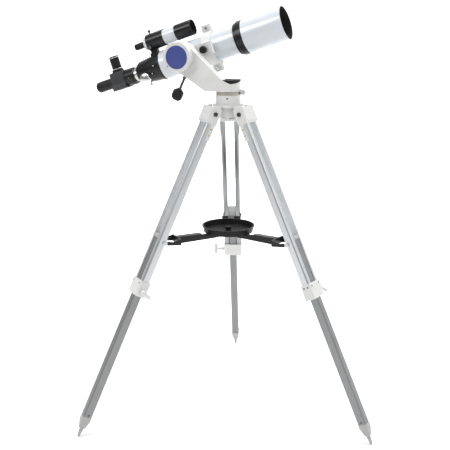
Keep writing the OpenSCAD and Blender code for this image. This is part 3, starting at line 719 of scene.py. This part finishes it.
def rack(bm):
    """Teeth under the drawtube, where the pinion runs."""
    for k in range(40):
        t = RACK_START + RACK_PITCH * k
        low, high = -19.9, -20.45
        corners = [(t, -4), (t + 1.3, -4), (t + 1.3, 4), (t, 4)]
        top = [bm.verts.new(TUBE @ Vector((x, y, low))) for x, y in corners]
        bottom = [bm.verts.new(TUBE @ Vector((x, y * 0.98, high))) for x, y in corners]
        bm.faces.new(bottom)
        for i in range(4):
            bm.faces.new((top[i], top[(i + 1) % 4], bottom[(i + 1) % 4], bottom[i]))


details("drawtube_rack", "drawtube_group", LOOK["steel"], rack)


def adapter_bands(bm):
    """The adapter's gripping band."""
    add_lathe(bm, TUBE @ ALONG_X, [(26.2, -242.6), (26.95, -242.4), (26.95, -217.6), (26.2, -217.4)], 144,
              lambda r, h, a: r - (0.5 * ribs(72, a) if r > 26.5 else 0))


details("adapter_grip", "drawtube_group", LOOK["black_plastic"], adapter_bands)


def adapter_screw(bm):
    """Three screws set in the adapter's gripping band."""
    for roll in (95, 215, 335):
        add_screw(bm, TUBE @ rolled(roll) @ at(ADAPTER_SCREWS, 0, 26.2), 2.6, 0.75, cross(1.5), 0.5)


details("adapter_screws", "drawtube_group", LOOK["brass"], adapter_screw)


def box_screws(bm):
    """Screws on the near side of the flip box: four low on its cheek and two above it."""
    for x in BOX_SCREWS:
        for z in (-24.5, -12.5):
            add_screw(bm, TUBE @ at(x, -23.3, z) @ facing(-1), 1.5, 0.18, cross(0.9), 0.12)
    for x in BOX_SCREWS:
        add_screw(bm, TUBE @ at(x, -21.8, 24) @ facing(-1), 1.5, 0.6, cross(0.9), 0.4)


details("flip_box_screws", "drawtube_group", LOOK["dark_steel"], box_screws)


def top_eyepiece(bm):
    """The upright eyepiece: gripping collar, fluted barrel and eye cup."""
    M = TUBE @ at(TOP_PORT, 0, 0)
    add_lathe(bm, M, [(0, 24), (15.9, 24), (15.9, 28), (17.9, 28), (18.5, 28.6), (18.5, 34.2), (17.8, 35),
                      (15.5, 35.9)], 96,
              lambda r, h, a: r - (0.5 * ribs(48, a) if r > 18 else 0))
    add_lathe(bm, M, [(15.5, 35.9), (15.5, 38.4), (15.2, 38.8), (15.2, 71.5), (15.5, 72), (15.5, 74)], 144,
              lambda r, h, a: r - (0.75 * ribs(24, a) if r < 15.3 else 0))
    add_lathe(bm, M, [(15.5, 74), (15.3, 76), (14.4, 77.6), (12.5, 78), (10.8, 77.6), (9.6, 75.4),
                      (0, 75.0)], 96)


knob = details("eyepiece_top_shape", "drawtube_group", LOOK["black_plastic"], top_eyepiece)
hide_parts("eyepiece_top")


def top_chrome(bm):
    """Bright bands at both ends of the upright eyepiece's flutes."""
    M = TUBE @ at(TOP_PORT, 0, 0)
    add_lathe(bm, M, [(15.5, 71.9), (15.62, 72.1), (15.62, 73.7), (15.5, 73.9)], 96)
    add_lathe(bm, M, [(15.5, 36.1), (15.62, 36.3), (15.62, 38.1), (15.5, 38.3)], 96)


details("eyepiece_top_bands", "drawtube_group", LOOK["steel"], top_chrome)


def rear_eyepiece(bm):
    """The straight eyepiece with its ribbed barrel and eye cup."""
    M = TUBE @ at(REAR_PORT, 0, 0) @ Matrix.Rotation(math.radians(-90), 4, "Y")
    add_lathe(bm, M, [(0, -3.5), (15.9, -3.5), (15.9, 3), (16.9, 3), (17.3, 3.4), (17.3, 12), (16.7, 12.6),
                      (16.7, 14.4), (17.25, 15)], 96)
    add_lathe(bm, M, [(17.25, 15), (17.25, 40)], 96)
    add_lathe(bm, M, [(17.25, 40), (16.7, 40.6), (16.7, 42.4), (17.3, 43), (17.3, 54), (16.9, 57),
                      (15.8, 60), (14, 62.3), (12, 62.9), (10.6, 62.4), (9.8, 60.2), (0, 59.8)], 96)
    for k in range(6):
        h = 17 + 3.6 * k
        add_lathe(bm, M, [(17.2, h), (17.3, h + 0.4), (17.3, h + 2.0), (17.2, h + 2.4)], 96)


knob = details("eyepiece_rear_shape", "drawtube_group", LOOK["black_paint"], rear_eyepiece)
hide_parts("eyepiece_rear")


# ---------------------------------------------------------------- finder details

# Stations along the finder, in millimetres in front of the altitude axis
BRACKET_BANDS = (-135.4, -132.2, -83.4, -80.2)
HOOD_BANDS = (-33.6, 16.4)
TUBE_SCREWS = -58
LINING_START = -22

FINDER_AXIS = Vector(JOINTS["finder_eyepiece_turn"]["pos_m"])
FINDER_V = (FINDER_AXIS - TUBE.translation).dot(TUBE_UP) / MM
FINDER = TUBE @ at(0, 0, FINDER_V)


def finder_eyepiece_shape(bm):
    """The finder's ribbed eyepiece."""
    add_lathe(bm, FINDER @ ALONG_X, [(0, -141), (9.8, -141), (9.8, -148.3), (10, -150)], 64)
    add_lathe(bm, FINDER @ ALONG_X, [(10, -150), (10, -158), (9.3, -159), (9.3, -161), (10, -162)], 64)
    add_lathe(bm, FINDER @ ALONG_X, [(10, -162), (9.99, -162.2), (9.99, -177.8), (10, -178)], 120,
              lambda r, h, a: r - (0.5 * ribs(30, a) if r < 9.995 else 0.25))
    add_lathe(bm, FINDER @ ALONG_X, [(9.75, -178), (9.9, -183.6), (9, -185.3), (7, -185.3), (6.2, -183.8),
                                     (0, -183.4)], 64)


knob = details("finder_eyepiece_shape", "finder_ocular", LOOK["black_plastic"],
               finder_eyepiece_shape)
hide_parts("finder_eyepiece")


def finder_glass(bm):
    """The finder's front lens."""
    add_lathe(bm, FINDER @ ALONG_X, [(0, -26.5), (8, -26.2), (16, -25.2), (21.4, -23.6), (21.4, -27.5),
                                     (0, -27.8)][::-1], 72)


details("finder_lens", "tube", LOOK["lens_glass"], finder_glass)


def finder_lining(bm):
    """Black baffles inside the finder's hood."""
    profile = []
    for k in range(12):
        t = LINING_START + 3.4 * k
        profile += [(21.5, t), (20.9, t + 1.2)]
    add_lathe(bm, FINDER @ ALONG_X, profile, 72)


details("finder_hood_lining", "tube", LOOK["dark_inside"], finder_lining)


def finder_bands(bm):
    """Low bands round the finder's bracket and hood."""
    for t in BRACKET_BANDS:
        add_band(bm, FINDER @ ALONG_X, 25.3, 0.18, t, 1.6)
    for t in HOOD_BANDS:
        add_band(bm, FINDER @ ALONG_X, 23.8, 0.17, t, 2.3)


details("finder_bands", "tube", LOOK["black_plastic"], finder_bands)


def finder_screw(bm):
    """Three small screws round the finder's white tube."""
    for roll in (60, 180, 300):
        add_screw(bm, FINDER @ rolled(roll) @ at(TUBE_SCREWS, 0, 22.6), 1.7, 0.65, cross(1.0), 0.4)


details("finder_tube_screws", "tube", LOOK["dark_steel"], finder_screw)


# ---------------------------------------------------------------- stage, light and camera

def plate(name, size, z, material):
    """A large floor with a gently raised far edge."""
    bm = bmesh.new()
    steps = 24
    grid = []
    for i in range(steps + 1):
        row = []
        for k in range(steps + 1):
            x = (i / steps - 0.5) * size
            y = (k / steps - 0.5) * size
            lift = max(0.0, y - size * 0.2) ** 2 * 0.06
            row.append(bm.verts.new((x, y, z + lift)))
        grid.append(row)
    for i in range(steps):
        for k in range(steps):
            bm.faces.new((grid[i][k], grid[i + 1][k], grid[i + 1][k + 1], grid[i][k + 1]))
    return store(name, bm, material)


FLOOR_SIZE = 30.0
FLOOR_Z = -0.0008
floor_look = finish("floor_paint", (0.92, 0.92, 0.915), 0.75, spread=0.006, grain=200, bump=0.02, patch=0.5)
floor = plate("floor", FLOOR_SIZE, FLOOR_Z, floor_look)

# The studio's walls: dim in front and at the sides, brighter behind and above
SKY_LEVEL = 0.22
world = bpy.data.worlds.new("studio")
bpy.context.scene.world = world
world.use_nodes = True
sky = world.node_tree
sky_coords = sky.nodes.new("ShaderNodeTexCoord")
sky_axes = sky.nodes.new("ShaderNodeSeparateXYZ")
sky.links.new(sky_coords.outputs["Generated"], sky_axes.inputs["Vector"])
behind = ramp(sky, sky_axes.outputs["Y"], 0.0, 0.78, 0.05, 0.5)
above = ramp(sky, sky_axes.outputs["Z"], 0.0, 0.30, 0.0, 0.9)
glow = sky.nodes.new("ShaderNodeMath")
glow.operation = "ADD"
sky.links.new(behind, glow.inputs[0])
sky.links.new(above, glow.inputs[1])
level = sky.nodes.new("ShaderNodeMath")
level.operation = "ADD"
level.inputs[1].default_value = SKY_LEVEL
sky.links.new(glow.outputs["Value"], level.inputs[0])
sky.nodes["Background"].inputs["Color"].default_value = (1.0, 1.0, 1.0, 1.0)
sky.links.new(level.outputs["Value"], sky.nodes["Background"].inputs["Strength"])


def lamp(name, place, target, width, height, power):
    """A soft rectangular light at place, turned to the target."""
    data = bpy.data.lights.new(name, "AREA")
    data.shape = "RECTANGLE"
    data.size = width
    data.size_y = height
    data.energy = power
    light = bpy.data.objects.new(name, data)
    bpy.context.scene.collection.objects.link(light)
    light.location = place
    light.rotation_euler = (Vector(target) - Vector(place)).to_track_quat("-Z", "Y").to_euler()


bpy.context.scene.view_settings.view_transform = "Standard"
CENTRE = (0.0, 0.0, 0.75)
lamp("key", (-1.9, -2.3, 2.9), CENTRE, 1.3, 1.3, 42)
lamp("side", (2.5, -0.6, 2.2), CENTRE, 0.9, 1.8, 18)
lamp("top", (0.0, 0.4, 4.2), CENTRE, 3.2, 3.2, 120)
lamp("backdrop", (0.0, 3.5, 5.5), (0.0, 11.0, 0.5), 7.0, 3.0, 1500)

# Camera in metres from the foot of the azimuth axis, and the point on that axis that it looks at
EYE_OFFSET = (0.8818, -2.3932, 1.2766)
AIM_HEIGHT = 0.4855
FOCAL_LENGTH = 67.9
SENSOR = 36.0
SHIFT = (-0.0074, 0.0822)

eye = Vector((AZIMUTH.x + EYE_OFFSET[0], AZIMUTH.y + EYE_OFFSET[1], EYE_OFFSET[2]))
aim = Vector((AZIMUTH.x, AZIMUTH.y, AIM_HEIGHT))
data = bpy.data.cameras.new("photo_view")
data.lens = FOCAL_LENGTH
data.sensor_width = SENSOR
data.shift_x, data.shift_y = SHIFT
camera = bpy.data.objects.new("photo_view", data)
bpy.context.scene.collection.objects.link(camera)
camera.location = eye
camera.rotation_euler = (aim - eye).to_track_quat("-Z", "Y").to_euler()
bpy.context.scene.camera = camera
